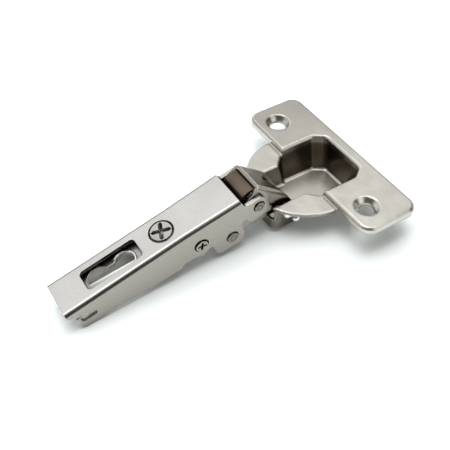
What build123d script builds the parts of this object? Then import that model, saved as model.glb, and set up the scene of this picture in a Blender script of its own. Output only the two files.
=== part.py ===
from build123d import *
from math import cos, radians, sin
import os

os.makedirs("parts", exist_ok=True)

# Concealed cup hinge, stored fully open.
# Origin: centre of the 35 mm cup, on the outer face of its flange.
# +X points away from the arm, +Y along the row of flange screws, +Z out of the door.

# ---- opening and sheet -------------------------------------------------------
open_angle = 104.2        # door angle at which the hinge is stored
arm_origin_x = -20.46     # arm datum, in the cup's frame
arm_origin_z = 0.52
arm_sheet = 1.2
link_sheet = 1.1
cup_sheet = 1.0
running_gap = 0.05        # radial gap of every turning pin
side_gap = 0.15           # sideways gap between moving sheets
cut_margin = 1.0          # how far a cutter runs past what it cuts

# ---- pivots (arm ones in the arm's frame, cup ones in the cup's frame) -------
front_pivot = (-0.4, 1.4)
rear_pivot = (-10.9, -4.9)
upper_cup_pivot = (-12.0, -4.6)
lower_cup_pivot = (-8.6, -8.2)
arm_pin_radius = 1.5
rear_pin_radius = 1.6
cup_pin_radius = 1.25
pin_recess = 0.5          # pins end this far inside their countersunk holes
rear_slot_travel = 2.55   # how far the rear pin shifts along the inner link
rear_slot_lift = 0.93     # and across it
rear_washer_radius = 2.6
staple_bridge = 1.2       # plate that joins the two cup pins
staple_rim = 0.25
staple_head_rim = 0.2
staple_head_height = 0.7

# ---- arm ---------------------------------------------------------------------
arm_half_width = 6.4
arm_flare = 0.5           # extra half width at the mouth
arm_flare_start = -24.0
arm_top = 7.6
arm_rear = -62.5
arm_mouth = -5.3
arm_bend_radius = 1.3
ear_joggle = 0.45         # ears stand this much further out than the mouth
ear_joggle_length = 0.6
ear_tip = 2.1
ear_crown = 4.9
ear_foot = -2.8
ear_tip_radius = 2.2
ear_overlap = 0.4         # length of ear that lies inside the wall
ear_shoulder = (0.4, 0.9)     # its end along the ear, and its height above the crown
ear_shoulder_run = 0.7
ear_chamfer = 1.3
leg_inset = 1.9           # the rear leg stands this far in from the top's rear edge
leg_shoulder = 2.2
leg_foot = -2.0
leg_chamfer = (1.2, 0.8)
belly_steps = [(-52.0, -2.0), (-45.3, -2.75), (-38.7, -3.6)]
# Foot of the walls, as steps from the side screw and then round the rear pivot's lobe.
screw_steps = [
    (-7.5, -4.4), (-7.0, -3.3), (-2.5, -3.3), (-1.3, -4.5),
    (0.0, -4.5), (1.2, -3.4), (3.1, -3.4),
]
lobe_drop = 4.0
lobe_steps = [
    (-6.1, -2.6), (-4.9, -3.8), (1.8, -lobe_drop), (3.4, -2.5), (3.9, -0.5), (3.9, 2.6),
]
window_rear = arm_rear + 9.0
window_front = -35.6
window_half_width = 3.5
window_corner = 1.2
overlay_screw_x = -28.05
overlay_hole_radius = 3.8
side_screw = (-20.4, -0.1)
side_screw_hole_radius = 2.4
hook_slot_rear = arm_rear + 2.9
hook_slot_front = hook_slot_rear + 5.0
hook_slot_foot = 0.65
hook_slot_top = 2.1
hook_slot_bulge = 1.3
hook_riser_width = 1.0    # the slot turns up at its rear end
hook_riser_top = 3.9
hook_slit = 0.5           # and runs out through the wall's rear edge

# ---- keyhole bracket ---------------------------------------------------------
bracket_gap = 0.1
bracket_drop = 2.5        # from the arm's top face to the bracket's
bracket_rear = arm_rear + 5.0
bracket_front = -17.0
bracket_lip = 1.7         # height of its walls behind the cheeks
# Cheeks beside the side screw, as steps from that screw.
cheek_start = -13.6
cheek_knee = (-8.6, -0.9)
cheek_full = -3.6
cheek_foot = -2.7
cheek_nose = (1.5, -1.2)
keyhole_rear_x = -49.3
keyhole_rear_radius = 3.65
keyhole_front_x = -41.0
keyhole_front_radius = 2.9
keyhole_neck_half = 1.6

# ---- screws ------------------------------------------------------------------
overlay_head_radius = 3.4
overlay_head_height = 1.3
overlay_head_recess = 0.25
overlay_thread_radius = 2.45
overlay_neck_radius = 1.5
overlay_collar_radius = 2.4
overlay_collar_height = 0.8
overlay_neck_height = 1.4
overlay_length = 11.2
nut_radius = 3.0
nut_flange_radius = 3.9
nut_flange_height = 0.9   # lies on the bracket's web, under the screw's head
nut_reach = 1.6           # length of nut below the web
recess_depth = 0.7
recess_width = 0.9
recess_turn = -23
side_head_radius = 2.1
side_head_recess = 0.45
side_shank_radius = 1.3
side_recess_width = 0.6
side_recess_turn = 20
side_shank_reach = 0.3

# ---- links -------------------------------------------------------------------
outer_link_hub_radius = 4.2
outer_link_eye_radius = 2.4
outer_link_web_offset = 5.3
outer_link_bend = 1.5
outer_link_web_start = -3.2
outer_link_vee_start = 2.8
outer_link_vee_end = 9.6
web_end_steps = ((1.5, 4.5), (-2.6, 3.7))     # from the vee's end, and from the cup pin
gooseneck = [(7.0, -1.9), (3.5, -3.9)]
notch_clearance = 0.4
notch_steps = ((-1.3, 0.1), (-2.6, 0.6))
inner_link_eye_radius = 2.4
inner_link_half_depth = 2.1
inner_link_hub_rim = 1.2
inner_link_hub_corner = 0.5
inner_link_shoulder = 1.0
inner_link_web_start = 0.6
inner_link_web_stop = 3.2
rear_slot_offset = 0.26
rear_slot_corner = 0.4

# ---- spring ------------------------------------------------------------------
leaf_thickness = 0.7
leaf_crown_centre = (-1.4, 3.1)
leaf_crown_radius = 3.45
leaf_start_angle = 200
leaf_end_angle = 30
leaf_drop = 1.0
leaf_ease_radius = 1.0
leaf_ease_angle = 35
leaf_wrap_angle = 80
bush_wall = 0.5

# ---- cup ---------------------------------------------------------------------
cup_radius = 17.4
flange_near = -0.2
flange_depth = 19.85
flange_width = 61.9
flange_corner = 4.0
flange_rim = 2.4
flange_edge = 0.7
flange_sheet = 1.1
screw_line = 6.56
screw_spacing = 45.0
screw_hole_radius = 2.5
countersink_radius = 3.94
screw_pad_radius = 5.4
plateau_level = -2.0
plateau_edge = 0.4
floor_level = -11.0
floor_bevel = 0.5
well_corner = 2.0
well_front_corner = 1.0
well_mouth = [(-0.7, 10.8), (11.6, 10.8)]     # the mouth's corners on +Y
well_mouth_rear = 15.5
well_rear_slope = -0.69                       # of the side that cuts off each rear corner
well_floor = [(-1.1, 7.6), (10.5, 7.6)]       # the same corners on the floor
well_floor_rear = 14.2
neck_front = -15.0
neck_back = -4.5
neck_corner = 2.0
cup_washer_height = 0.9
front_wall_top = -7.9
front_notch = 3.4         # how far the front wall's notch runs into the neck

# ---- frames ------------------------------------------------------------------
pitch = radians(open_angle - 90.0)
arm_x = Vector(cos(pitch), 0, sin(pitch))
arm_z = Vector(-sin(pitch), 0, cos(pitch))
arm_origin = Vector(arm_origin_x, 0, arm_origin_z)
arm_side = Plane(origin=arm_origin, x_dir=arm_x, z_dir=(0, -1, 0))
arm_plan = Plane(origin=arm_origin, x_dir=arm_x, z_dir=arm_z)
cup_side = Plane(origin=(0, 0, 0), x_dir=(1, 0, 0), z_dir=(0, -1, 0))


def cup_to_arm(point):
    """A cup-frame (x, z) point in the arm's own (x, z)."""
    away = Vector(point[0], 0, point[1]) - arm_origin
    return (away.dot(arm_x), away.dot(arm_z))


def link_frame(start, end):
    """The plane of a link: x from its arm pin to its cup pin, y across it."""
    run = Vector(end[0] - start[0], end[1] - start[1])
    direction = arm_x * run.X + arm_z * run.Y
    origin = arm_origin + arm_x * start[0] + arm_z * start[1]
    return Plane(origin=origin, x_dir=direction, z_dir=(0, -1, 0)), run.length


def in_link(start, end, point):
    """An arm-frame point in a link's (x, y)."""
    run = Vector(end[0] - start[0], end[1] - start[1]).normalized()
    away = Vector(point[0] - start[0], point[1] - start[1])
    return (away.dot(run), run.X * away.Y - run.Y * away.X)


def at_y(plane, y):
    """The same side plane, moved along the pins' direction to this y."""
    return Plane(origin=plane.origin + Vector(0, y, 0), x_dir=plane.x_dir, z_dir=plane.z_dir)


def half_width_at(x):
    """The arm's outer half width at this place along it."""
    share = (x - arm_flare_start) / (arm_mouth - arm_flare_start)
    return arm_half_width + arm_flare * min(1.0, max(0.0, share))


upper_pin = cup_to_arm(upper_cup_pivot)
lower_pin = cup_to_arm(lower_cup_pivot)
outer_plane, outer_length = link_frame(front_pivot, lower_pin)
inner_plane, inner_length = link_frame(rear_pivot, upper_pin)
ear_half_width = arm_half_width + arm_flare + ear_joggle
outer_link_half_width = ear_half_width - arm_sheet - side_gap
neck_half_width = outer_link_half_width + cup_washer_height + 2 * running_gap
all_through = flange_width        # longer than any piece is wide

# ---- arm: one folded channel with joggled ears --------------------------------
arm_depth = arm_top - rear_pivot[1] + lobe_drop + cut_margin
arm_below = arm_plan.offset(arm_top - arm_depth)


def mirrored(half):
    """A closed plan outline from its +Y half."""
    return half + [(x, -y) for x, y in reversed(half)]


def stepped(start, steps):
    """Points given as steps from one point."""
    return [(start[0] + x, start[1] + y) for x, y in steps]


ear_outline = [
    (arm_mouth - ear_overlap, half_width_at(arm_mouth - ear_overlap)),
    (arm_mouth, arm_half_width + arm_flare),
    (arm_mouth + ear_joggle_length, ear_half_width),
    (ear_tip + cut_margin, ear_half_width),
]
with BuildPart() as arm_ears:
    with BuildSketch(arm_below):
        with BuildLine():
            Polyline(*mirrored(ear_outline), close=True)
        make_face()
        with BuildLine():
            Polyline(*mirrored([(x, y - arm_sheet) for x, y in ear_outline]), close=True)
        make_face(mode=Mode.SUBTRACT)
    extrude(amount=arm_depth)
    with BuildSketch(arm_side) as ear_profile:
        with BuildLine():
            Polyline(
                (arm_mouth - cut_margin, ear_crown + ear_shoulder[1]),
                (arm_mouth + ear_shoulder[0], ear_crown + ear_shoulder[1]),
                (arm_mouth + ear_shoulder[0] + ear_shoulder_run, ear_crown),
                (ear_tip, ear_crown),
                (ear_tip, ear_foot),
                (arm_mouth + ear_chamfer, ear_foot),
                (arm_mouth, ear_foot + ear_chamfer),
                (arm_mouth - cut_margin, ear_foot + 2 * ear_chamfer),
                close=True,
            )
        make_face()
        tip_corners = ear_profile.vertices().group_by(Axis.X)[-1]
        fillet(tip_corners, radius=ear_tip_radius)
    extrude(amount=all_through, both=True, mode=Mode.INTERSECT)

leg_front = arm_rear + leg_inset
rear_pin_wall = half_width_at(rear_pivot[0])
arm_outline = [
    (arm_rear, arm_half_width),
    (arm_flare_start, arm_half_width),
    (arm_mouth, arm_half_width + arm_flare),
]
with BuildPart() as hinge_arm:
    with BuildSketch(arm_below):
        with BuildLine():
            Polyline(*mirrored(arm_outline), close=True)
        make_face()
    extrude(amount=arm_depth)
    top_face = hinge_arm.faces().sort_by(Axis(arm_origin, arm_z))[-1]
    fillet([e for e in top_face.edges() if abs(e.tangent_at(0.5).Y) < 0.5], arm_bend_radius)
    with BuildSketch(arm_side):
        with BuildLine():
            Polyline(
                (arm_rear, arm_top + cut_margin),
                (arm_rear, arm_top - leg_shoulder),
                (leg_front, arm_top - leg_shoulder),
                (leg_front, leg_foot + leg_chamfer[1]),
                (leg_front + leg_chamfer[0], leg_foot),
                *belly_steps,
                *stepped(side_screw, screw_steps),
                *stepped(rear_pivot, lobe_steps),
                (arm_mouth, 0.0),
                (arm_mouth, arm_top + cut_margin),
                close=True,
            )
        make_face()
    extrude(amount=all_through, both=True, mode=Mode.INTERSECT)
    inside = [(x, y - arm_sheet) for x, y in arm_outline]
    inside = [(arm_rear - cut_margin, inside[0][1]), *inside[1:], (ear_tip, inside[2][1])]
    with BuildSketch(arm_below):
        with BuildLine():
            Polyline(*mirrored(inside), close=True)
        make_face()
    extrude(amount=arm_depth - arm_sheet, mode=Mode.SUBTRACT)
    add(arm_ears.part)
    with BuildSketch(arm_plan.offset(arm_top)):
        with Locations(((window_rear + window_front) / 2, 0)):
            RectangleRounded(window_front - window_rear, 2 * window_half_width, window_corner)
        with Locations((overlay_screw_x, 0)):
            Circle(overlay_hole_radius)
    extrude(amount=-2 * arm_sheet, mode=Mode.SUBTRACT)
    with BuildSketch(arm_side):
        with Locations(front_pivot):
            Circle(arm_pin_radius)
        with Locations(rear_pivot):
            Circle(rear_pin_radius)
        with Locations(side_screw):
            Circle(side_screw_hole_radius)
        slot_height = hook_slot_top - hook_slot_foot
        with Locations(((hook_slot_rear + hook_slot_front) / 2, hook_slot_foot + slot_height / 2)):
            SlotOverall(hook_slot_front - hook_slot_rear, slot_height)
        with Locations((hook_slot_front - hook_slot_bulge, hook_slot_top)):
            Circle(hook_slot_bulge)
        with BuildLine():
            Polyline(
                (hook_slot_rear, hook_slot_foot + slot_height / 2),
                (hook_slot_rear, hook_riser_top - hook_slit),
                (arm_rear, hook_riser_top - hook_slit),
                (arm_rear, hook_riser_top),
                (hook_slot_rear + hook_riser_width, hook_riser_top),
                (hook_slot_rear + hook_riser_width, hook_slot_foot + slot_height / 2),
                close=True,
            )
        make_face()
    extrude(amount=all_through, both=True, mode=Mode.SUBTRACT)
    for place, radius, outer_face in (
        (front_pivot, arm_pin_radius, ear_half_width),
        (rear_pivot, rear_pin_radius, rear_pin_wall),
    ):
        for side in (-1, 1):
            with BuildSketch(at_y(arm_side, side * (outer_face + side_gap))):
                with Locations(place):
                    Circle(radius + pin_recess + side_gap)
            extrude(amount=side * (pin_recess + side_gap), taper=45, mode=Mode.SUBTRACT)
hinge_arm.part.label = "hinge_arm"
export_step(hinge_arm.part, "parts/hinge_arm.step")

# ---- pins: plain shanks, peened inside their countersunk holes ----------------
for place, radius, outer_face, name in (
    (front_pivot, arm_pin_radius, ear_half_width, "front_pin"),
    (rear_pivot, rear_pin_radius, rear_pin_wall, "rear_pin"),
):
    with BuildPart() as pin:
        with BuildSketch(arm_side):
            with Locations(place):
                Circle(radius)
        extrude(amount=outer_face - pin_recess, both=True)
    pin.part.label = name
    export_step(pin.part, "parts/" + name + ".step")

# ---- keyhole bracket: channel inside the arm ----------------------------------
bracket_top = arm_top - bracket_drop
bracket_half_width = arm_half_width - arm_sheet - bracket_gap
with BuildPart() as keyhole_bracket:
    with BuildSketch(arm_side):
        with BuildLine():
            Polyline(
                (bracket_rear, bracket_top),
                (bracket_rear, bracket_top - bracket_lip),
                (side_screw[0] + cheek_start, bracket_top - bracket_lip),
                (side_screw[0] + cheek_knee[0], side_screw[1] + cheek_knee[1]),
                (side_screw[0] + cheek_full, side_screw[1] + cheek_foot),
                (bracket_front - cheek_nose[0], side_screw[1] + cheek_foot),
                (bracket_front, side_screw[1] + cheek_nose[1]),
                (bracket_front, bracket_top),
                close=True,
            )
        make_face()
    extrude(amount=bracket_half_width, both=True)
    with BuildSketch(arm_plan.offset(bracket_top - arm_sheet)):
        with Locations(((bracket_rear + bracket_front) / 2, 0)):
            Rectangle(2 * (bracket_front - bracket_rear), 2 * (bracket_half_width - arm_sheet))
    extrude(amount=-arm_depth, mode=Mode.SUBTRACT)
    with BuildSketch(arm_plan.offset(bracket_top)):
        with Locations((keyhole_rear_x, 0)):
            Circle(keyhole_rear_radius)
        with Locations((keyhole_front_x, 0)):
            Circle(keyhole_front_radius)
        with Locations(((keyhole_rear_x + keyhole_front_x) / 2, 0)):
            Rectangle(keyhole_front_x - keyhole_rear_x, 2 * keyhole_neck_half)
        with Locations((overlay_screw_x, 0)):
            Circle(nut_radius)
    extrude(amount=-2 * arm_sheet, mode=Mode.SUBTRACT)
    with BuildSketch(arm_side):
        with Locations(side_screw):
            Circle(side_shank_radius)
    extrude(amount=all_through, both=True, mode=Mode.SUBTRACT)
keyhole_bracket.part.label = "keyhole_bracket"
export_step(keyhole_bracket.part, "parts/keyhole_bracket.step")

# ---- overlay screw and the nut it turns in ------------------------------------
with BuildPart() as adjuster_nut:
    with BuildSketch(arm_plan.offset(bracket_top)):
        with Locations((overlay_screw_x, 0)):
            Circle(nut_flange_radius)
    extrude(amount=nut_flange_height)
    with BuildSketch(arm_plan.offset(bracket_top)):
        with Locations((overlay_screw_x, 0)):
            Circle(nut_radius)
    extrude(amount=-arm_sheet - nut_reach)
    with BuildSketch(arm_plan.offset(bracket_top + nut_flange_height)):
        with Locations((overlay_screw_x, 0)):
            Circle(overlay_thread_radius + running_gap)
    extrude(amount=-arm_depth, mode=Mode.SUBTRACT)
adjuster_nut.part.label = "adjuster_nut"
export_step(adjuster_nut.part, "parts/adjuster_nut.step")

head_top = arm_top - overlay_head_recess
screw_foot = head_top - overlay_length
with BuildPart() as overlay_screw:
    with BuildSketch(arm_plan.offset(head_top)):
        with Locations((overlay_screw_x, 0)):
            Circle(overlay_head_radius)
    extrude(amount=-overlay_head_height)
    with BuildSketch(arm_plan.offset(head_top - overlay_head_height)):
        with Locations((overlay_screw_x, 0)):
            Circle(overlay_thread_radius)
    shank = overlay_length - overlay_head_height - overlay_neck_height - overlay_collar_height
    extrude(amount=-shank)
    with BuildSketch(arm_plan.offset(screw_foot)):
        with Locations((overlay_screw_x, 0)):
            Circle(overlay_neck_radius)
    extrude(amount=overlay_collar_height + overlay_neck_height)
    with BuildSketch(arm_plan.offset(screw_foot)):
        with Locations((overlay_screw_x, 0)):
            Circle(overlay_collar_radius)
    extrude(amount=overlay_collar_height)
    with BuildSketch(arm_plan.offset(head_top)):
        with Locations(Location((overlay_screw_x, 0), recess_turn)):
            Rectangle(2 * overlay_head_radius, recess_width)
            Rectangle(recess_width, 2 * overlay_head_radius)
    extrude(amount=-recess_depth, mode=Mode.SUBTRACT)
overlay_screw.part.label = "overlay_screw"
export_step(overlay_screw.part, "parts/overlay_screw.step")

# ---- side screws: heads in the arm's walls, shanks in the bracket's -----------
side_head_top = half_width_at(side_screw[0]) - side_head_recess
for side, name in ((-1, "side_screw_near"), (1, "side_screw_far")):
    with BuildPart() as side_screw_part:
        with BuildSketch(at_y(arm_side, side * bracket_half_width)):
            with Locations(side_screw):
                Circle(side_head_radius)
        extrude(amount=-side * (side_head_top - bracket_half_width))
        with BuildSketch(at_y(arm_side, side * (bracket_half_width - arm_sheet - side_shank_reach))):
            with Locations(side_screw):
                Circle(side_shank_radius)
        extrude(amount=-side * (arm_sheet + side_shank_reach))
        with BuildSketch(at_y(arm_side, side * side_head_top)):
            with Locations(Location(side_screw, side_recess_turn)):
                Rectangle(2 * side_shank_radius, side_recess_width)
                Rectangle(side_recess_width, 2 * side_shank_radius)
        extrude(amount=side * recess_depth, mode=Mode.SUBTRACT)
    side_screw_part.part.label = name
    export_step(side_screw_part.part, "parts/" + name + ".step")

# ---- outer link: folded channel, web towards the door -------------------------
joint_notch = in_link(front_pivot, lower_pin, upper_pin)
notch_radius = cup_pin_radius + notch_clearance
neck_edge = joint_notch[1] + notch_radius + notch_steps[0][1]
web_inner = outer_link_web_offset - link_sheet
eye = outer_link_eye_radius
with BuildPart() as outer_link:
    with BuildSketch(outer_plane):
        with BuildLine():
            Polyline(
                (outer_link_web_start, outer_link_web_offset),
                (outer_link_vee_end - 2.0, outer_link_web_offset),
                (outer_link_vee_end + web_end_steps[0][0], web_end_steps[0][1]),
                (outer_length + web_end_steps[1][0], web_end_steps[1][1]),
                (outer_length, eye),
                (outer_length, neck_edge - 0.5),
                (joint_notch[0] + notch_steps[0][0], neck_edge),
                (joint_notch[0] + notch_steps[1][0], notch_steps[1][1]),
                *gooseneck,
                (0.5, -outer_link_hub_radius),
                (-outer_link_hub_radius, 0),
                close=True,
            )
        make_face()
        Circle(outer_link_hub_radius)
        with Locations((outer_length, 0)):
            Circle(eye)
    extrude(amount=outer_link_half_width, both=True)
    along_link = Axis(outer_plane.origin, outer_plane.x_dir)
    off_web = Axis(outer_plane.origin, outer_plane.y_dir)
    fillet(outer_link.edges().filter_by(along_link).group_by(off_web)[-1], outer_link_bend)
    with BuildSketch(outer_plane):
        with BuildLine():
            Polyline(
                (-2 * outer_link_hub_radius, web_inner),
                (2 * outer_length, web_inner),
                (2 * outer_length, -2 * outer_link_hub_radius),
                (-2 * outer_link_hub_radius, -2 * outer_link_hub_radius),
                close=True,
            )
        make_face()
    extrude(amount=outer_link_half_width - link_sheet, both=True, mode=Mode.SUBTRACT)
    web_face = Plane(
        origin=outer_plane.origin + outer_plane.y_dir * outer_link_web_offset,
        x_dir=outer_plane.x_dir,
        z_dir=outer_plane.y_dir,
    )
    with BuildSketch(web_face):
        with BuildLine():
            vee_half = outer_link_half_width - link_sheet
            Polyline(
                (outer_link_vee_start, 0),
                (outer_link_vee_end, vee_half),
                (2 * outer_length, vee_half),
                (2 * outer_length, -vee_half),
                (outer_link_vee_end, -vee_half),
                close=True,
            )
        make_face()
    extrude(amount=-2 * link_sheet, mode=Mode.SUBTRACT)
    with BuildSketch(outer_plane):
        Circle(arm_pin_radius + running_gap)
        with Locations((outer_length, 0)):
            Circle(cup_pin_radius + running_gap)
    extrude(amount=all_through, both=True, mode=Mode.SUBTRACT)
outer_link.part.label = "outer_link"
export_step(outer_link.part, "parts/outer_link.step")

# ---- inner link: channel between the outer link's ears ------------------------
inner_half_width = outer_link_half_width - link_sheet - side_gap
slot_length = rear_slot_travel + 2 * rear_pin_radius + 2 * side_gap
slot_width = rear_slot_lift + 2 * rear_pin_radius + 2 * side_gap
slot_place = (rear_slot_travel / 2, rear_slot_offset)
hub_half = slot_width / 2 + inner_link_hub_rim
hub_length = slot_length + 2 * inner_link_hub_rim
hub_end = slot_place[0] + hub_length / 2
depth = inner_link_half_depth
web_start = hub_end + inner_link_web_start
web_stop = inner_length - inner_link_web_stop
with BuildPart() as inner_link:
    with BuildSketch(inner_plane):
        with Locations(slot_place):
            RectangleRounded(hub_length, 2 * hub_half, hub_half - inner_link_hub_corner)
        with BuildLine():
            Polyline(
                (slot_place[0], slot_place[1] + hub_half),
                (hub_end + inner_link_shoulder, depth),
                (inner_length, inner_link_eye_radius),
                (inner_length, -inner_link_eye_radius),
                (hub_end + inner_link_shoulder, -depth),
                (slot_place[0], slot_place[1] - hub_half),
                close=True,
            )
        make_face()
        with Locations((inner_length, 0)):
            Circle(inner_link_eye_radius)
    extrude(amount=inner_half_width, both=True)
    with BuildSketch(inner_plane):
        with BuildLine():
            Polyline(
                (-outer_length, 2 * hub_half),
                (web_start, 2 * hub_half),
                (web_start, depth - link_sheet),
                (web_stop, depth - link_sheet),
                (web_stop, 2 * hub_half),
                (2 * inner_length, 2 * hub_half),
                (2 * inner_length, -2 * hub_half),
                (-outer_length, -2 * hub_half),
                close=True,
            )
        make_face()
    extrude(amount=inner_half_width - link_sheet, both=True, mode=Mode.SUBTRACT)
    with BuildSketch(inner_plane):
        with Locations(slot_place):
            RectangleRounded(slot_length, slot_width, slot_width / 2 - rear_slot_corner)
        with Locations((inner_length, 0)):
            Circle(cup_pin_radius + running_gap)
    extrude(amount=all_through, both=True, mode=Mode.SUBTRACT)
inner_link.part.label = "inner_link"
export_step(inner_link.part, "parts/inner_link.step")

# ---- washers that centre the links --------------------------------------------


def washers(place, bore, outer, near, far, names):
    """A washer each side, filling the space between two half widths."""
    for side, name in ((-1, names[0]), (1, names[1])):
        with BuildPart() as washer:
            with BuildSketch(at_y(arm_side, side * near)):
                with Locations(place):
                    Circle(outer)
                    Circle(bore, mode=Mode.SUBTRACT)
            extrude(amount=-side * (far - near))
        washer.part.label = name
        export_step(washer.part, "parts/" + name + ".step")


washers(
    rear_pivot,
    rear_pin_radius + running_gap,
    rear_washer_radius,
    inner_half_width + side_gap,
    half_width_at(rear_pivot[0] - rear_washer_radius) - arm_sheet - running_gap,
    ("rear_washer_near", "rear_washer_far"),
)
washers(
    lower_pin,
    cup_pin_radius + running_gap,
    outer_link_eye_radius,
    outer_link_half_width + running_gap,
    neck_half_width - running_gap,
    ("cup_washer_near", "cup_washer_far"),
)

# ---- closing spring: leaf bent over its bush ----------------------------------
leaf_half_width = outer_link_half_width - link_sheet - side_gap
bush_radius = arm_pin_radius + running_gap + bush_wall
crown = Vector(leaf_crown_centre)
leaf_start = crown + Vector(leaf_crown_radius, 0).rotate(Axis.Z, leaf_start_angle)
leaf_heading = Vector(0, -1).rotate(Axis.Z, leaf_start_angle)
leaf_turn = leaf_start_angle - leaf_end_angle
wrap_radius = bush_radius + leaf_thickness / 2 + side_gap
with BuildPart() as closing_spring:
    with BuildSketch(arm_side):
        with BuildLine():
            over = JernArc(leaf_start, leaf_heading, leaf_crown_radius, -leaf_turn)
            down = JernArc(over @ 1, over % 1, leaf_crown_radius + leaf_ease_radius, -leaf_ease_angle)
            drop = Line(down @ 1, down @ 1 + (down % 1) * leaf_drop)
            JernArc(drop @ 1, drop % 1, wrap_radius, -leaf_wrap_angle)
        trace(line_width=leaf_thickness)
    extrude(amount=leaf_half_width, both=True)
closing_spring.part.label = "closing_spring"
export_step(closing_spring.part, "parts/closing_spring.step")

with BuildPart() as spring_bush:
    with BuildSketch(arm_side):
        with Locations(front_pivot):
            Circle(bush_radius)
            Circle(arm_pin_radius + running_gap, mode=Mode.SUBTRACT)
    extrude(amount=leaf_half_width, both=True)
spring_bush.part.label = "spring_bush"
export_step(spring_bush.part, "parts/spring_bush.step")

# ---- cup staple: both cup pins, forged with the plate that joins them ---------
staple_wall = neck_half_width + cup_sheet
bridge_radius = cup_pin_radius + staple_rim
with BuildPart() as cup_staple:
    with BuildSketch(at_y(cup_side, -staple_wall)):
        with Locations(upper_cup_pivot, lower_cup_pivot):
            Circle(cup_pin_radius)
    extrude(amount=-2 * staple_wall - running_gap)
    with BuildSketch(at_y(cup_side, staple_wall + running_gap)):
        with Locations(upper_cup_pivot, lower_cup_pivot):
            Circle(bridge_radius)
        make_hull()
    extrude(amount=-staple_bridge)
    with BuildSketch(at_y(cup_side, -staple_wall)):
        with Locations(upper_cup_pivot, lower_cup_pivot):
            Circle(cup_pin_radius + staple_head_rim)
    extrude(amount=staple_head_height)
cup_staple.part.label = "cup_staple"
export_step(cup_staple.part, "parts/cup_staple.step")

# ---- cup: drawn from one sheet with its flange --------------------------------
flange_middle = flange_near + flange_depth / 2
plateau_foot = plateau_level - cup_sheet
screw_places = [(screw_line, -screw_spacing / 2), (screw_line, screw_spacing / 2)]


def on_slope(start, slope, x):
    """The point at this x, on the line of this slope through start."""
    return (x, start[1] + (x - start[0]) * slope)


# Each side of the floor runs parallel to the mouth's, so every wall is flat.
neck_end = (neck_back, neck_half_width)
front_slope = (well_mouth[0][1] - neck_end[1]) / (well_mouth[0][0] - neck_end[0])
mouth_half = [neck_end, *well_mouth, on_slope(well_mouth[1], well_rear_slope, well_mouth_rear)]
floor_front = well_floor[0][0] - (well_floor[0][1] - neck_half_width) / front_slope
floor_half = [
    (floor_front, neck_half_width),
    *well_floor,
    on_slope(well_floor[1], well_rear_slope, well_floor_rear),
]


def drawn_form(wall):
    """Well and neck together, grown outward by this wall."""
    mouth_points = [Vector(x, y, -flange_sheet) for x, y in mirrored(mouth_half)]
    floor_points = [Vector(x, y, floor_level) for x, y in mirrored(floor_half)]
    with BuildPart() as well:
        with BuildSketch(Plane.XY.offset(floor_level - wall)):
            Rectangle(flange_width, flange_width)
        extrude(amount=wall - floor_level - flange_sheet)
        for index, corner in enumerate(mouth_points):
            ahead = mouth_points[(index + 1) % len(mouth_points)] - corner
            outward = ahead.cross(floor_points[index] - corner)
            split(bisect_by=Plane(origin=corner, z_dir=outward).offset(wall), keep=Keep.BOTTOM)
        upright = [e for e in well.edges() if abs((e % 0.5).Z) > 0.5]
        corners = ShapeList(upright).sort_by(Axis.X)[2:]
        fillet(corners[2:], radius=well_corner + wall)
        front = [e for e in well.edges() if abs((e % 0.5).Z) > 0.5]
        fillet(ShapeList(front).sort_by(Axis.X)[2:4], radius=well_front_corner + wall)
    with BuildPart() as form:
        with BuildSketch(Plane.XY.offset(floor_level - wall)):
            with Locations(((neck_front + floor_front) / 2, 0)):
                Rectangle(floor_front - neck_front + 2 * wall, 2 * (neck_half_width + wall))
        extrude(amount=wall - floor_level - flange_sheet)
        fillet(form.edges().filter_by(Axis.Z).group_by(Axis.X)[0], radius=neck_corner + wall)
        add(well.part)
        chamfer(form.faces().sort_by(Axis.Z)[0].edges(), length=floor_bevel)
    return form.part


cup_space = drawn_form(0)
with BuildPart() as flange_plate:
    with BuildSketch(Plane.XY.offset(-flange_rim)):
        with Locations((flange_middle, 0)):
            RectangleRounded(flange_depth, flange_width, flange_corner)
    extrude(amount=flange_rim)
    mouth = cup_space.faces().sort_by(Axis.Z)[-1]
    extrude(mouth, amount=flange_rim, both=True, mode=Mode.SUBTRACT)
    chamfer(flange_plate.faces().sort_by(Axis.Z)[-1].edges(), length=flange_edge)
    with BuildSketch(Plane.XY.offset(-flange_rim)):
        with Locations((flange_middle, 0)):
            RectangleRounded(
                flange_depth - 2 * flange_sheet,
                flange_width - 2 * flange_sheet,
                flange_corner - flange_sheet,
            )
        with Locations(*screw_places):
            Circle(screw_pad_radius, mode=Mode.SUBTRACT)
    extrude(amount=flange_rim - flange_sheet, mode=Mode.SUBTRACT)
    with Locations(*[(x, y, 0) for x, y in screw_places]):
        CounterSinkHole(screw_hole_radius, countersink_radius, depth=flange_rim)

with BuildPart() as plateau:
    with BuildSketch(Plane.XY.offset(plateau_foot)):
        Circle(cup_radius)
        with Locations((cup_radius + flange_near + flange_sheet, 0)):
            Rectangle(2 * cup_radius, 2 * cup_radius, mode=Mode.SUBTRACT)
    extrude(amount=cup_sheet)
    add(cup_space, mode=Mode.SUBTRACT)
    rims = plateau.faces().group_by(Axis.Z)[-1].edges()
    slot_rims = rims.sort_by(Axis.X)[:-2].filter_by(lambda edge: edge.length < cup_radius)
    chamfer(slot_rims, length=plateau_edge)

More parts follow.
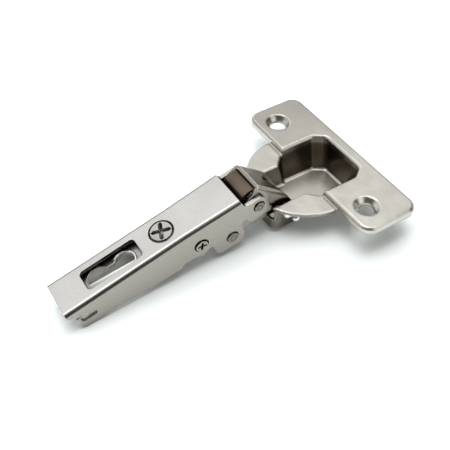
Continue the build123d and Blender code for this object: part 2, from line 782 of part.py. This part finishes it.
with BuildPart() as hinge_cup:
    add(drawn_form(cup_sheet))
    with BuildSketch(Plane.XY.offset(plateau_foot)):
        with Locations((flange_near - cup_radius, 0)):
            Rectangle(2 * cup_radius, 2 * cup_radius)
    extrude(amount=-plateau_foot, mode=Mode.SUBTRACT)
    add(cup_space, mode=Mode.SUBTRACT)
    add(flange_plate.part)
    add(plateau.part)
    with BuildSketch(Plane.XY.offset(front_wall_top)):
        with Locations((neck_front + front_notch - cup_radius / 2, 0)):
            Rectangle(cup_radius, 2 * neck_half_width)
    extrude(amount=-front_wall_top, mode=Mode.SUBTRACT)
    with BuildSketch(cup_side):
        with Locations(upper_cup_pivot, lower_cup_pivot):
            Circle(cup_pin_radius)
    extrude(amount=cup_radius, both=True, mode=Mode.SUBTRACT)
hinge_cup.part.label = "hinge_cup"
export_step(hinge_cup.part, "parts/hinge_cup.step")
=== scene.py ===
import math

import bmesh
import bpy
from mathutils import Matrix, Vector


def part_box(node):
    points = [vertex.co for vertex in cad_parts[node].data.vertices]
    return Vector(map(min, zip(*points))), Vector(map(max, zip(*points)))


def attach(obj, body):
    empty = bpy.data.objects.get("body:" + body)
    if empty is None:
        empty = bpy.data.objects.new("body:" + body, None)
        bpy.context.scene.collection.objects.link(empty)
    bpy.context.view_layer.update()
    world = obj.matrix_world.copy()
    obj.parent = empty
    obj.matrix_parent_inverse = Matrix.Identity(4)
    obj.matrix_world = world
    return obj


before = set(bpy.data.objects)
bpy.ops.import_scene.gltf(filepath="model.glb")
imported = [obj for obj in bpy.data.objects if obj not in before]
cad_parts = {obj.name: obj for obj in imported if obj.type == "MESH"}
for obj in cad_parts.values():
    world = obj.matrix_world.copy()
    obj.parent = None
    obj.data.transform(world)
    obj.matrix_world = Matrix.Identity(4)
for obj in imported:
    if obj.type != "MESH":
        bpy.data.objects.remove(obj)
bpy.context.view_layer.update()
print("frame loaded:", len(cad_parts), "nodes")

mm = 0.001
armTilt = math.radians(14.2)        # the arm leans this much in the stored pose
armAlong = (math.cos(armTilt), 0, math.sin(armTilt))
armDatum = Vector((-20.46 * mm, 0, 0.52 * mm))      # zero point of the arm's own sizes


def upright(tilt):
    return (-math.sin(tilt), 0, math.cos(tilt))


class Value:
    # a node's output that Python's own operators can be used on
    def __init__(self, sheet, socket):
        self.sheet = sheet
        self.socket = socket

    def maths(self, operation, *terms):
        return self.sheet.node("ShaderNodeMath", {"operation": operation}, dict(enumerate(terms)))

    def __add__(self, other):
        return self.maths("ADD", self, other)

    def __sub__(self, other):
        return self.maths("SUBTRACT", self, other)

    def __mul__(self, other):
        return self.maths("MULTIPLY", self, other)

    def __rsub__(self, other):
        return self.maths("SUBTRACT", other, self)

    def __abs__(self):
        return self.maths("ABSOLUTE", self)

    __radd__ = __add__
    __rmul__ = __mul__


class Sheet:
    # a material's or world's node tree
    def __init__(self, tree):
        self.tree = tree
        tree.nodes.clear()

    def node(self, kind, settings=None, values=None, output=0):
        made = self.tree.nodes.new(kind)
        for name, setting in (settings or {}).items():
            if name == "stops":
                ramp = made.color_ramp
                while len(ramp.elements) < len(setting):
                    ramp.elements.new(0.5)
                for stop, (place, colour) in zip(ramp.elements, setting):
                    stop.position = place
                    stop.color = colour
            else:
                setattr(made, name, setting)
        for name, value in (values or {}).items():
            if isinstance(value, Value):
                self.tree.links.new(value.socket, made.inputs[name])
            else:
                made.inputs[name].default_value = value
        return Value(self, made.outputs[output]) if made.outputs else None

    def ramp(self, value, low, high):
        # 0 at low to 1 at high, clamped
        return self.node("ShaderNodeMapRange", {"clamp": True},
                         {"Value": value, "From Min": low, "From Max": high})

    def blend(self, share, first, second):
        # the Mix node's colour sockets share their names, so they go by number
        return self.node("ShaderNodeMix", {"data_type": "RGBA"},
                         {0: share, 6: first, 7: second}, output=2)

    def dot(self, first, second):
        return self.node("ShaderNodeVectorMath", {"operation": "DOT_PRODUCT"},
                         {0: first, 1: second}, output="Value")

    def part(self, vector, letter):
        return self.node("ShaderNodeSeparateXYZ", {}, {"Vector": vector}, output=letter)

    def noise(self, place, scale, detail):
        return self.node("ShaderNodeTexNoise", {}, {"Vector": place, "Scale": scale, "Detail": detail})

    def lightPath(self, *rays):
        # 1 for light that travels as any of these rays
        found = [self.node("ShaderNodeLightPath", output="Is " + ray + " Ray") for ray in rays]
        total = found[0]
        for one in found[1:]:
            total = total + one
        return total


def metal(name, look):
    made = bpy.data.materials.new(name)
    made.use_nodes = True
    s = Sheet(made.node_tree)
    upwards = upright(look["tilt"])
    place = s.node("ShaderNodeTexCoord", output="Object")
    turned = s.node("ShaderNodeMapping", {}, {"Vector": place, "Rotation": (0, look["tilt"], 0)})
    streaks = s.node("ShaderNodeMapping", {}, {"Vector": turned, "Scale": look["stretch"]})
    cloud = s.noise(turned, look["cloudScale"], 4.0)
    drawn = s.noise(streaks, look["drawnScale"], 3.0)
    peen = s.noise(turned, look["peenScale"], 2.0)
    mottle = s.ramp(cloud, *look["mottleRange"])

    # edges are painted bright where the rounded normal leaves the flat one: partly real wear, partly
    # painted highlight
    soft = s.node("ShaderNodeBevel", {"samples": 6}, {"Radius": look["edge"]})
    flat = s.node("ShaderNodeNewGeometry", output="Normal")
    wornAndLitEdge = s.ramp(1 - s.dot(soft, flat), *look["wornRange"])

    # which way a face looks: walls stand, bends lie in between
    outward = s.node("ShaderNodeTexCoord", output="Normal")
    level = abs(s.dot(outward, upwards))
    standing = 1 - s.ramp(level, *look["standingRange"])
    turning = level - s.ramp(s.part(outward, "Y"), *look["leanRange"]) * look["leanShare"]
    folded = s.ramp(turning, *look["foldStart"]) * (1 - s.ramp(turning, *look["foldEnd"]))

    # where on the part it lies
    across = s.part(place, "Y")
    height = s.part(place, "Z")
    farSide = s.ramp(across, *look["farSide"])
    below = s.ramp(height, *look["wallTop"])
    bottom = s.ramp(height, *look["bottomTop"])
    flangeOnly = 1 - s.ramp(height, *look["flangeFoot"])
    inside = standing * (1 - s.ramp(abs(across), *look["insideEdge"])) \
        * s.ramp(s.dot(place, upwards), *look["insideFoot"])

    colour = s.blend(mottle, look["dark"], look["light"])
    # painted shade: the flange's far end is darker
    colour = s.blend(farSide * flangeOnly * look["farShadeShare"], colour, look["farShade"])
    # painted shade on the well's floor
    colour = s.blend(bottom * look["bottomShadeShare"], colour, look["wall"])
    # painted shade on standing walls
    colour = s.blend(standing * below * look["wallShare"], colour, look["wall"])
    # painted shade: a dark band on bends
    colour = s.blend(folded * look["bendShadeShare"], colour, look["bendShade"])
    # painted shade on the channel's inner walls
    colour = s.blend(inside * look["insideShadeShare"], colour, look["paintedShade"])
    # painted shade in recesses, darker the less open each point is
    for reach, shut, clear, share in look["recessShade"]:
        openness = s.node("ShaderNodeAmbientOcclusion", {"samples": 8}, {"Distance": reach}, output="AO")
        colour = s.blend((1 - s.ramp(openness, shut, clear)) * share, colour, look["paintedShade"])
    # painted highlight along the edges, partly real wear
    colour = s.blend(wornAndLitEdge * look["wearAndHighlight"], colour, look["bareAndHighlight"])

    rough = look["rough"] + (drawn - 0.5) * look["roughSpread"] \
        + (mottle - 0.5) * look["roughMottle"] - wornAndLitEdge * look["roughWorn"]
    relief = drawn * look["drawnHeight"] + peen * look["peenHeight"]
    normal = s.node("ShaderNodeBump", {}, {"Height": relief, "Normal": soft,
                                           "Strength": 1.0, "Distance": look["bump"]})
    shader = s.node("ShaderNodeBsdfPrincipled", {}, {
        "Base Color": colour, "Metallic": 1.0, "Roughness": rough, "Normal": normal})
    s.node("ShaderNodeOutputMaterial", {}, {"Surface": shader})
    return made


# Ranges give where a mask starts and where it is full. A share of 0 leaves a tone out.
satinNickel = {
    "tilt": 0.0, "stretch": (1, 1, 1),
    "cloudScale": 150, "drawnScale": 900, "peenScale": 2600, "mottleRange": (0.32, 0.68),
    "dark": (0.55, 0.53, 0.483, 1), "light": (0.635, 0.615, 0.558, 1),
    # worn edges, painted bright as a highlight
    "edge": 0.9 * mm, "wornRange": (0.02, 0.16), "bareAndHighlight": (0.92, 0.905, 0.87, 1), "wearAndHighlight": 0.95,
    # gloss and grain
    "rough": 0.24, "roughSpread": 0.05, "roughMottle": 0.05, "roughWorn": 0.08,
    "drawnHeight": 0.4, "peenHeight": 0.5, "bump": 0.004 * mm,
    # painted shade: standing walls are darker than the flange, below wallTop
    "standingRange": (0.3, 0.75), "wall": (0.15, 0.127, 0.10, 1), "wallShare": 0.9,
    "wallTop": (-1.6 * mm, -2.6 * mm),
    # painted shade: a dark band on bends, between top and wall
    "leanRange": (0.05, 0.3), "leanShare": 0.25, "foldStart": (0.12, 0.3), "foldEnd": (0.70, 0.81),
    "bendShade": (0.07, 0.063, 0.045, 1), "bendShadeShare": 0.0,
    # painted shade: the flange's far end is darker, down to its foot
    "farSide": (-6 * mm, 26 * mm), "farShade": (0.34, 0.32, 0.28, 1), "farShadeShare": 0.6,
    "flangeFoot": (-0.8 * mm, -1.4 * mm),
    # painted shade: the well's floor takes a little of the walls' painted shade
    "bottomTop": (-8 * mm, -9.5 * mm), "bottomShadeShare": 0.18,
    # painted shade in recesses: reach, shut and clear openness, share
    "recessShade": [(5.0 * mm, 0.35, 0.80, 0.7), (1.2 * mm, 0.30, 0.75, 0.8)],
    "paintedShade": (0.08, 0.068, 0.054, 1),
    # painted shade on the channel's inner walls
    "insideEdge": (5.75 * mm, 5.95 * mm), "insideFoot": (9.22 * mm, 9.72 * mm), "insideShadeShare": 0.0,
}
everyHeight = (50 * mm, 40 * mm)        # all of the part lies below this
# The arm carries painted shade on its walls, bends, inner walls and recesses.
armNickel = dict(
    satinNickel, tilt=armTilt, dark=(0.60, 0.585, 0.56, 1), light=(0.645, 0.63, 0.605, 1),
    cloudScale=70, drawnScale=3000, rough=0.26, edge=0.3 * mm,
    wall=(0.34, 0.315, 0.28, 1), wallTop=everyHeight,
    bendShadeShare=0.95, insideShadeShare=0.96, farShadeShare=0.0, bottomShadeShare=0.0,
    recessShade=[(5.0 * mm, 0.30, 0.70, 0.95), (1.2 * mm, 0.30, 0.75, 0.9)])
# The screws carry painted shade on their standing faces and in their recesses.
brightNickel = dict(
    satinNickel, dark=(0.50, 0.485, 0.45, 1), light=(0.58, 0.565, 0.53, 1),
    rough=0.15, edge=0.16 * mm, bump=0.002 * mm, wallShare=0.5, wallTop=everyHeight,
    farShadeShare=0.0, bottomShadeShare=0.0, paintedShade=(0.035, 0.028, 0.022, 1),
    recessShade=[(1.4 * mm, 0.55, 0.97, 1.0), (0.6 * mm, 0.5, 0.95, 1.0)])
# The links are the same nickel painted darker, as painted shade.
linkShadedNickel = dict(
    satinNickel, dark=(0.31, 0.285, 0.25, 1), light=(0.38, 0.355, 0.315, 1),
    rough=0.2, edge=0.4 * mm, wallShare=0.0, farShadeShare=0.0, bottomShadeShare=0.0)
# The spring strip is nickel painted dark brown, as painted shade and dark reflection.
springShadedStrip = dict(
    satinNickel, tilt=armTilt, stretch=(1, 0.06, 1), drawnScale=2200,
    dark=(0.12, 0.093, 0.07, 1), light=(0.18, 0.14, 0.11, 1), bareAndHighlight=(0.30, 0.25, 0.2, 1), wearAndHighlight=0.4,
    rough=0.3, edge=0.12 * mm, wallShare=0.3, farShadeShare=0.0,
    recessShade=[(0.5 * mm, 0.25, 0.6, 0.7)])
# The bracket carries painted shade in its recesses.
bracketNickel = dict(
    armNickel, dark=(0.60, 0.575, 0.54, 1), light=(0.66, 0.64, 0.60, 1),
    bendShadeShare=0.0, insideShadeShare=0.0,
    recessShade=[(5.0 * mm, 0.25, 0.85, 0.85), (1.0 * mm, 0.30, 0.75, 0.6)])
rivetNickel = dict(
    brightNickel, dark=(0.30, 0.29, 0.27, 1), light=(0.42, 0.41, 0.39, 1), rough=0.2)
# Near white, as a painted highlight on the keyhole's lip and the staple's heads.
paintedGlintNickel = dict(
    brightNickel, dark=(0.84, 0.89, 0.91, 1), light=(0.93, 0.97, 0.98, 1), rough=0.08,
    wallShare=0.0, recessShade=[])
pinNickel = dict(
    brightNickel, dark=(0.46, 0.455, 0.44, 1), light=(0.56, 0.555, 0.54, 1), rough=0.18)

acetal = {"colour": (0.035, 0.034, 0.033, 1), "rough": 0.42, "roughSpread": 0.12,
          "grain": 2400, "bump": 0.01 * mm}


def plastic(name, look):
    made = bpy.data.materials.new(name)
    made.use_nodes = True
    s = Sheet(made.node_tree)
    grain = s.noise(s.node("ShaderNodeTexCoord", output="Object"), look["grain"], 2.0)
    normal = s.node("ShaderNodeBump", {}, {"Height": grain, "Distance": look["bump"]})
    rough = look["rough"] + (grain - 0.5) * look["roughSpread"]
    shader = s.node("ShaderNodeBsdfPrincipled", {}, {
        "Base Color": look["colour"], "Roughness": rough, "Normal": normal})
    s.node("ShaderNodeOutputMaterial", {}, {"Surface": shader})
    return made


screwFinish = metal("screwNickel", brightNickel)
pinFinish = metal("pinNickel", pinNickel)
rivetFinish = metal("rivetNickel", rivetNickel)
paintedGlintFinish = metal("paintedGlintNickel", paintedGlintNickel)
finishes = {
    metal("armNickel", armNickel): ["hinge_arm"],
    metal("bracketNickel", bracketNickel): ["keyhole_bracket"],
    metal("cupNickel", satinNickel): ["hinge_cup"],
    metal("linkShadedNickel", linkShadedNickel): ["outer_link", "inner_link"],
    screwFinish: ["overlay_screw", "side_screw_near", "side_screw_far", "adjuster_nut"],
    pinFinish: ["front_pin", "rear_pin", "cup_staple"],
    metal("springShadedStrip", springShadedStrip): ["closing_spring"],
    plastic("slideAcetal", acetal): ["rear_washer_near", "rear_washer_far", "cup_washer_near",
                                     "cup_washer_far", "spring_bush"],
}
for finish, nodes in finishes.items():
    for node in nodes:
        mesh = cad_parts[node].data
        mesh.materials.clear()
        mesh.materials.append(finish)
print("finishes given:", len(finishes))


# steps of each round form, and the gap that counts as none
fineness = {"rim": 12, "turned": 48, "lip": 40, "weld": 0.001 * mm}


def placed(origin, along, outward):
    # local z points out of the part, local x along it
    upward = Vector(outward).normalized()
    forward = Vector(along).normalized()
    turned = Matrix((forward, upward.cross(forward), upward)).transposed().to_4x4()
    return Matrix.Translation(origin) @ turned


def keep(shape, name, body, place, finish):
    bmesh.ops.recalc_face_normals(shape, faces=shape.faces)
    bmesh.ops.transform(shape, matrix=place, verts=shape.verts)
    mesh = bpy.data.meshes.new(name)
    shape.to_mesh(mesh)
    shape.free()
    piece = bpy.data.objects.new(name, mesh)
    bpy.context.scene.collection.objects.link(piece)
    mesh.materials.append(finish)
    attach(piece, body)
    return piece


def turnedHead(name, body, place, profile, finish):
    shape = bmesh.new()
    ring = [shape.verts.new((r, 0, z)) for r, z in profile]
    for first, second in zip(ring, ring[1:]):
        shape.edges.new((first, second))
    bmesh.ops.spin(shape, geom=shape.verts[:] + shape.edges[:], cent=(0, 0, 0), axis=(0, 0, 1),
                   dvec=(0, 0, 0), angle=2 * math.pi, steps=fineness["turned"], use_merge=True)
    bmesh.ops.remove_doubles(shape, verts=shape.verts, dist=fineness["weld"])
    for face in shape.faces:
        face.smooth = True
    return keep(shape, name, body, place, finish)


def crossHead(name, body, place, look, finish):
    # four pads with the cross slot between them
    shape = bmesh.new()
    slot, rim, tip = look["slot"], look["radius"], look["reach"] * look["radius"]
    angles = [i * math.pi / (2 * fineness["rim"]) for i in range(fineness["rim"] + 1)]
    arc = [(rim * math.cos(angle), rim * math.sin(angle)) for angle in angles]
    outline = [(slot, slot), (tip - slot, slot), (tip, 0)] + arc + [(0, tip), (slot, tip - slot)]
    for quarter in range(4):
        turn = look["turn"] + quarter * math.pi / 2
        base = [shape.verts.new((x * math.cos(turn) - y * math.sin(turn),
                                 x * math.sin(turn) + y * math.cos(turn), 0)) for x, y in outline]
        pad = shape.faces.new(base)
        raised = bmesh.ops.extrude_face_region(shape, geom=[pad])["geom"]
        top = [part for part in raised if isinstance(part, bmesh.types.BMFace)][0]
        bmesh.ops.translate(shape, vec=(0, 0, look["height"]), verts=top.verts)
        bmesh.ops.bevel(shape, geom=list(top.edges), offset=look["round"], offset_type="OFFSET",
                        segments=3, profile=0.5, affect="EDGES", material=-1, clamp_overlap=True)
    return keep(shape, name, body, place, finish)


def arcCollar(name, body, place, look, finish):
    # a raised lip that leaves the keyhole's throat open
    shape = bmesh.new()
    start = look["start"]
    loop = [shape.verts.new((r * mm * math.cos(start), r * mm * math.sin(start), z * mm))
            for r, z in look["profile"]]
    section = shape.faces.new(loop)
    bmesh.ops.spin(shape, geom=[section] + section.edges[:] + section.verts[:], cent=(0, 0, 0),
                   axis=(0, 0, 1), dvec=(0, 0, 0), angle=look["sweep"], steps=fineness["lip"])
    return keep(shape, name, body, place, finish)


# What shows of the screws, pins, keyhole and staple stands a little proud of the sheet.
overlayFace = {
    "along": -28.05 * mm, "top": 7.35 * mm,     # in the arm's own sizes
    "slot": 0.6 * mm, "reach": 0.96, "radius": 3.2 * mm, "height": 0.45 * mm,
    "round": 0.14 * mm, "turn": math.radians(-23),
}
overlayTop = armDatum + Vector(armAlong) * overlayFace["along"] \
    + Vector(upright(armTilt)) * overlayFace["top"]
crossHead("overlayScrewFace", "overlay_adjuster",
          placed(overlayTop, armAlong, upright(armTilt)), overlayFace, screwFinish)

sideFace = {
    "slot": 0.32 * mm, "reach": 0.80, "radius": 1.95 * mm, "height": 0.85 * mm,
    "round": 0.14 * mm, "turn": math.radians(-20),
}
pinEnd = {
    "grown": {"front_pin": 1.0, "rear_pin": 1.1},       # the rear pin is thicker
    "profile": [(0, 0), (1.42, 0), (1.42, 0.12), (1.72, 0.5), (1.72, 0.82), (1.55, 0.98), (1.15, 0.93),
                (1.0, 0.78), (0.8, 0.78), (0.66, 0.95), (0.3, 1.03), (0, 1.04)],     # radius, height in mm
}
for side, word in ((-1, "Near"), (1, "Far")):
    outward = (0, side, 0)
    for pin, grown in pinEnd["grown"].items():
        low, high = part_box(pin)
        middle = (Vector(low) + Vector(high)) / 2
        middle.y = side * high[1]
        profile = [(r * grown * mm, z * mm) for r, z in pinEnd["profile"]]
        turnedHead(pin.split("_")[0] + "PinEnd" + word, "arm",
                   placed(middle, armAlong, outward), profile, rivetFinish)
    low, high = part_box("side_screw_" + word.lower())
    middle = (Vector(low) + Vector(high)) / 2
    middle.y = high[1] if side > 0 else low[1]
    crossHead("sideScrewFace" + word, "arm", placed(middle, armAlong, outward), sideFace, screwFinish)

keyholeLip = {
    "centre": (-61.31 * mm, 0, -5.18 * mm), "rise": 0.6 * mm,   # middle of the bracket's sheet
    "start": math.radians(-135), "sweep": math.radians(270),
    "profile": [(3.0, -0.05), (3.0, 0.35), (3.12, 0.5), (3.5, 0.5), (3.65, 0.35), (3.65, -0.05)],
}
lipPlace = Vector(keyholeLip["centre"]) + Vector(upright(armTilt)) * keyholeLip["rise"]
# the lip's finish is a painted highlight
arcCollar("keyholeLip", "arm", placed(lipPlace, armAlong, upright(armTilt)), keyholeLip, paintedGlintFinish)

stapleHead = {
    "upper": (-12.0 * mm, -4.6 * mm), "lower": (-8.6 * mm, -8.2 * mm), "from": -8.7 * mm,
    "profile": [(0, 0), (1.4, 0), (1.45, 0.6), (1.3, 1.2), (0.95, 1.6), (0.5, 1.82), (0, 1.88)],
}
# the heads' finish is a painted highlight
for word in ("upper", "lower"):
    x, z = stapleHead[word]
    turnedHead(word + "StapleHead", "cup",
               placed((x, stapleHead["from"], z), (1, 0, 0), (0, -1, 0)),
               [(r * mm, h * mm) for r, h in stapleHead["profile"]], paintedGlintFinish)
print("heads made")

floorSheet = {
    "rear": (-77.55 * mm, -15.99 * mm), "front": (15.3 * mm, -12.0 * mm),   # where the part rests
    "half": 1.6, "gap": 0.03 * mm, "colour": (0.90, 0.945, 0.935, 1), "lift": 0.07,
}


def restPlane():
    rear, front = floorSheet["rear"], floorSheet["front"]
    slope = math.atan2(front[1] - rear[1], front[0] - rear[0])
    return Matrix.Translation((rear[0], 0, rear[1] - floorSheet["gap"])) @ Matrix.Rotation(-slope, 4, "Y")


def makeFloor():
    shape = bmesh.new()
    bmesh.ops.create_grid(shape, x_segments=2, y_segments=2, size=floorSheet["half"])
    bmesh.ops.transform(shape, matrix=restPlane(), verts=shape.verts)
    mesh = bpy.data.meshes.new("floorSheet")
    shape.to_mesh(mesh)
    shape.free()
    floor = bpy.data.objects.new("floorSheet", mesh)
    bpy.context.scene.collection.objects.link(floor)
    paint = bpy.data.materials.new("floorPaper")
    paint.use_nodes = True
    s = Sheet(paint.node_tree)
    matt = s.node("ShaderNodeBsdfDiffuse", {}, {"Color": floorSheet["colour"]})
    seen = s.lightPath("Camera", "Glossy", "Transmission")
    glow = s.node("ShaderNodeEmission", {}, {"Color": seen * floorSheet["lift"], "Strength": 1.0})
    both = s.node("ShaderNodeAddShader", {}, {0: matt, 1: glow})
    s.node("ShaderNodeOutputMaterial", {}, {"Surface": both})
    mesh.materials.append(paint)


# Soft boxes over the part, in metres and watts. The metal mirrors only the first.
lamps = {
    "softBox": {"place": (-0.05, 0.075, 0.60), "aim": (-0.05, 0.075, 0), "size": (0.90, 0.41),
                "power": 1.35, "mirrored": True},
    "fill": {"place": (-0.05, 0.075, 0.62), "aim": (-0.05, 0.075, 0), "size": (0.90, 0.41),
             "power": 0.95, "mirrored": False},
    "overhead": {"place": (-0.10, -0.10, 0.75), "aim": (-0.03, 0, 0), "size": (0.35, 0.35),
                 "power": 1.9, "mirrored": False},
}


def makeLamps():
    for name, look in lamps.items():
        lamp = bpy.data.lights.new(name, "AREA")
        lamp.shape = "RECTANGLE"
        lamp.size, lamp.size_y = look["size"]
        lamp.energy = look["power"]
        holder = bpy.data.objects.new(name, lamp)
        holder.location = look["place"]
        holder.rotation_mode = "QUATERNION"
        holder.rotation_quaternion = (Vector(look["aim"]) - Vector(look["place"])).to_track_quat("-Z", "Y")
        holder.visible_glossy = look["mirrored"]
        bpy.context.scene.collection.objects.link(holder)


# The room is bright above and behind, and dark on the camera's side.
room = {
    "towards": (-0.10, 0.62, 0.78), "backdrop": (0.62, 0.74), "seenWhite": (1, 1, 1, 1),
    "card": (0.36, -0.74, 0.57), "cardEdge": (0.88, 0.96), "cardTone": (1.3, 1.3, 1.3, 1),
    "tones": [
        (0.0, (0.17, 0.163, 0.153, 1)),
        (0.60, (0.15, 0.143, 0.133, 1)),
        (0.70, (0.09, 0.085, 0.078, 1)),
        (0.80, (0.10, 0.094, 0.087, 1)),
        (0.865, (1.15, 1.17, 1.19, 1)),
        (1.0, (1.45, 1.48, 1.50, 1)),
    ],
}


def makeRoom():
    world = bpy.data.worlds.new("studio")
    bpy.context.scene.world = world
    world.use_nodes = True
    s = Sheet(world.node_tree)
    way = s.node("ShaderNodeTexCoord", output="Generated")
    towards = s.dot(way, Vector(room["towards"]).normalized())
    tone = s.node("ShaderNodeValToRGB", {"stops": room["tones"]}, {0: towards * 0.5 + 0.5})
    card = s.dot(way, Vector(room["card"]).normalized())
    tone = s.blend(s.ramp(card, *room["cardEdge"]) * s.lightPath("Glossy"), tone, room["cardTone"])
    # the white backdrop: seen outright, through glass, and by metal that faces it
    seen = s.lightPath("Camera", "Transmission") \
        + s.lightPath("Glossy") * s.ramp(towards, *room["backdrop"])
    colour = s.blend(seen, tone, room["seenWhite"])
    back = s.node("ShaderNodeBackground", {}, {"Color": colour, "Strength": 1.0})
    s.node("ShaderNodeOutputWorld", {}, {"Surface": back})


viewpoint = {
    "azimuth": -32.43, "elevation": 47.83, "roll": 0.20,
    "distance": 212.34 * mm, "shiftX": 23.93 * mm, "shiftY": -17.10 * mm,
    "focalPixels": 692.2, "frameWidth": 450, "sensor": 36.0, "clip": (0.005, 20),
}


def makeCamera():
    turn, lift, roll = (math.radians(viewpoint[key]) for key in ("azimuth", "elevation", "roll"))
    back = Vector((math.sin(turn) * math.cos(lift), -math.cos(turn) * math.cos(lift), math.sin(lift)))
    right = (-back).cross(Vector((0, 0, 1))).normalized()
    up = right.cross(-back)
    across = right * math.cos(roll) + up * math.sin(roll)
    upward = up * math.cos(roll) - right * math.sin(roll)
    data = bpy.data.cameras.new("viewpoint")
    data.sensor_width = viewpoint["sensor"]
    data.lens = viewpoint["sensor"] * viewpoint["focalPixels"] / viewpoint["frameWidth"]
    data.clip_start, data.clip_end = viewpoint["clip"]
    camera = bpy.data.objects.new("viewpoint", data)
    eye = back * viewpoint["distance"] - across * viewpoint["shiftX"] + upward * viewpoint["shiftY"]
    turned = Matrix((across, upward, back)).transposed().to_4x4()
    camera.matrix_world = Matrix.Translation(eye) @ turned
    bpy.context.scene.collection.objects.link(camera)
    bpy.context.scene.camera = camera


makeFloor()
makeLamps()
makeRoom()
makeCamera()
bpy.context.scene.view_settings.view_transform = "Standard"
print("studio ready")
